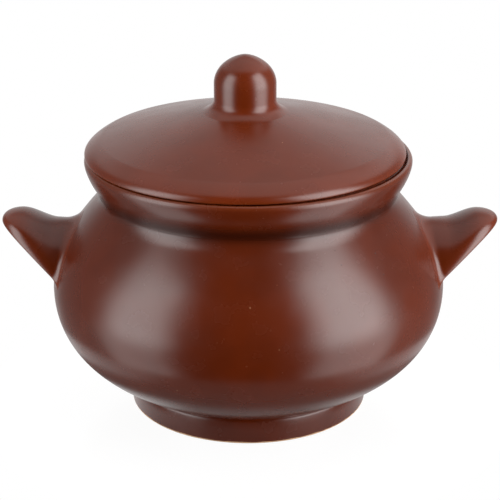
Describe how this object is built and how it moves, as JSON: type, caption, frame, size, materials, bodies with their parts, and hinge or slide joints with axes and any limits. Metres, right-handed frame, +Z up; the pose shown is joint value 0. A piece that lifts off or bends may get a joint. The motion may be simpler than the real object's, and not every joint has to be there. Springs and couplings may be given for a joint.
{
  "type": "clay roasting pot",
  "caption": "Round-bellied earthenware roasting pot with a flared rim, a foot ring, lug handles and a loose domed-knob lid, in satin brown slip.",
  "frame": {"origin": "on the surface that the pot stands on, at the centre of its foot ring", "axes": "+Z up along the turning axis of the body, +X through the right-hand lug, -Y towards the front"},
  "size_m": [0.2008, 0.1594, 0.1457],
  "materials": {
    "body_slip": "satin brown slip, bare clay under the foot",
    "handle_left_slip": "satin brown slip",
    "handle_right_slip": "satin brown slip",
    "lid_slip": "satin brown slip",
    "knob_slip": "satin brown slip"
  },
  "bodies": {
    "pot": {"pot_body": "body_slip", "handle_left": "handle_left_slip", "handle_right": "handle_right_slip"},
    "lid": {"lid": "lid_slip", "lid_knob": "knob_slip"}
  },
  "joints": [
    {"name": "lid_lift", "type": "slide", "parent": "pot", "child": "lid", "axis": [0, 0, 1], "range_m": [0, 0.12]}
  ]
}
